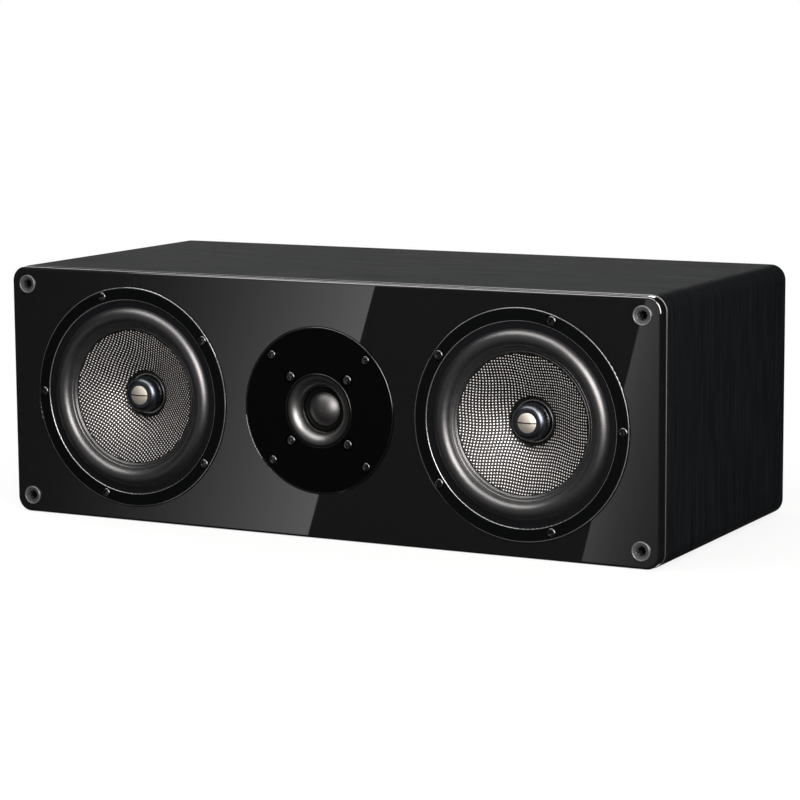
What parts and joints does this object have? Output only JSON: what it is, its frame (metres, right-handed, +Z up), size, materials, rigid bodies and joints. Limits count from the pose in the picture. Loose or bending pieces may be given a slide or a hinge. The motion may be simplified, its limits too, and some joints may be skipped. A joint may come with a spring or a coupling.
{
  "type": "center channel speaker",
  "caption": "Wide closed-box center channel speaker: a gloss front with a soft dome tweeter between woven cone woofers, grille sockets at the corners and screw binding posts at the rear.",
  "frame": {"origin": "bottom centre of the box that bounds the speaker, on the surface it stands on", "axes": "+X to the right of someone who faces the front, +Y from the front to the rear, +Z up"},
  "size_m": [0.581, 0.2714, 0.206],
  "materials": {
    "black_ash_wrap": "black ash grained vinyl wrap on fibreboard",
    "gloss_black_lacquer": "high gloss black lacquer on fibreboard",
    "rear_board": "matte black vinyl on fibreboard",
    "raw_fibreboard": "raw fibreboard",
    "foam": "open cell foam",
    "socket_plastic": "satin moulded plastic",
    "basket_casting": "black powder coated casting",
    "surround_rubber": "satin moulded rubber",
    "cone_weave": "black and silver woven fibre with a clear resin",
    "spider_cloth": "resin dipped cloth",
    "former_aluminium": "plain aluminium",
    "copper_wire": "enamelled copper wire",
    "plug_aluminium": "gunmetal anodised, turned",
    "bright_screw": "bright turned steel",
    "black_screw": "black oxide steel",
    "motor_steel": "zinc plated steel",
    "ferrite": "ground ferrite",
    "gasket_foam": "closed cell foam strip",
    "tag_strip": "phenolic strip with tinned tags",
    "faceplate_plastic": "satin black moulding",
    "dome_cloth": "coated cloth",
    "chamber_plastic": "moulded plastic",
    "cup_plastic": "fine textured black moulding",
    "post_brass": "gold plated brass",
    "red_plastic": "red moulded plastic",
    "black_plastic": "black moulded plastic",
    "circuit_board": "glass fibre circuit board",
    "nylon": "natural nylon",
    "capacitor_film": "taped film capacitor",
    "cement": "cement block"
  },
  "bodies": {
    "cabinet": {"black_post_stud": "post_brass", "cabinet_sleeve": "black_ash_wrap", "crossover_board": "circuit_board", "crossover_capacitors": "capacitor_film", "crossover_chokes": "copper_wire", "crossover_resistor": "cement", "crossover_standoffs": "nylon", "damping_foam": "foam", "front_baffle": "gloss_black_lacquer", "grille_sockets": "socket_plastic", "left_brace": "raw_fibreboard", "left_magnet": "ferrite", "left_phase_plug": "plug_aluminium", "left_top_plate": "motor_steel", "left_woofer_basket": "basket_casting", "left_woofer_spider": "spider_cloth", "left_woofer_surround": "surround_rubber", "left_yoke": "motor_steel", "phase_plug_screws": "bright_screw", "post_collars": "black_plastic", "post_nuts": "post_brass", "rear_panel": "rear_board", "red_post_stud": "post_brass", "right_brace": "raw_fibreboard", "right_magnet": "ferrite", "right_phase_plug": "plug_aluminium", "right_top_plate": "motor_steel", "right_woofer_basket": "basket_casting", "right_woofer_spider": "spider_cloth", "right_woofer_surround": "surround_rubber", "right_yoke": "motor_steel", "terminal_cup": "cup_plastic", "terminal_cup_screws": "black_screw", "tweeter_assembly_screws": "black_screw", "tweeter_dome": "dome_cloth", "tweeter_faceplate": "faceplate_plastic", "tweeter_gasket": "gasket_foam", "tweeter_magnet": "ferrite", "tweeter_mounting_screws": "black_screw", "tweeter_rear_chamber": "chamber_plastic", "tweeter_terminals": "tag_strip", "tweeter_top_plate": "motor_steel", "tweeter_voice_coil": "copper_wire", "tweeter_yoke": "motor_steel", "woofer_gaskets": "gasket_foam", "woofer_screws": "black_screw", "woofer_terminals": "tag_strip"},
    "left_cone": {"left_woofer_cone": "cone_weave", "left_voice_coil_former": "former_aluminium", "left_voice_coil": "copper_wire"},
    "right_cone": {"right_woofer_cone": "cone_weave", "right_voice_coil_former": "former_aluminium", "right_voice_coil": "copper_wire"},
    "red_insert": {"red_post_insert": "post_brass"},
    "red_cap": {"red_post_cap": "red_plastic"},
    "black_insert": {"black_post_insert": "post_brass"},
    "black_cap": {"black_post_cap": "black_plastic"}
  },
  "joints": [
    {"name": "left_cone_stroke", "type": "slide", "parent": "cabinet", "child": "left_cone", "axis": [0, -1, 0], "range_m": [-0.004, 0.004], "stiffness_N_per_m": 1000, "deforming": ["left_woofer_surround", "left_woofer_spider"]},
    {"name": "right_cone_stroke", "type": "slide", "parent": "cabinet", "child": "right_cone", "axis": [0, -1, 0], "range_m": [-0.004, 0.004], "stiffness_N_per_m": 1000, "deforming": ["right_woofer_surround", "right_woofer_spider"]},
    {"name": "red_post_travel", "type": "slide", "parent": "cabinet", "child": "red_insert", "axis": [0, 1, 0], "range_m": [0, 0.0045]},
    {"name": "red_post_turn", "type": "hinge", "parent": "red_insert", "child": "red_cap", "pos_m": [0.015, 0.11975, 0.103], "axis": [0, 1, 0], "range_deg": [0, 2160]},
    {"name": "black_post_travel", "type": "slide", "parent": "cabinet", "child": "black_insert", "axis": [0, 1, 0], "range_m": [0, 0.0045]},
    {"name": "black_post_turn", "type": "hinge", "parent": "black_insert", "child": "black_cap", "pos_m": [-0.015, 0.11975, 0.103], "axis": [0, 1, 0], "range_deg": [0, 2160]}
  ],
  "couplings": [
    {"joint": "red_post_travel", "follows": "red_post_turn", "m_per_rad": 0.00011937},
    {"joint": "black_post_travel", "follows": "black_post_turn", "m_per_rad": 0.00011937}
  ]
}
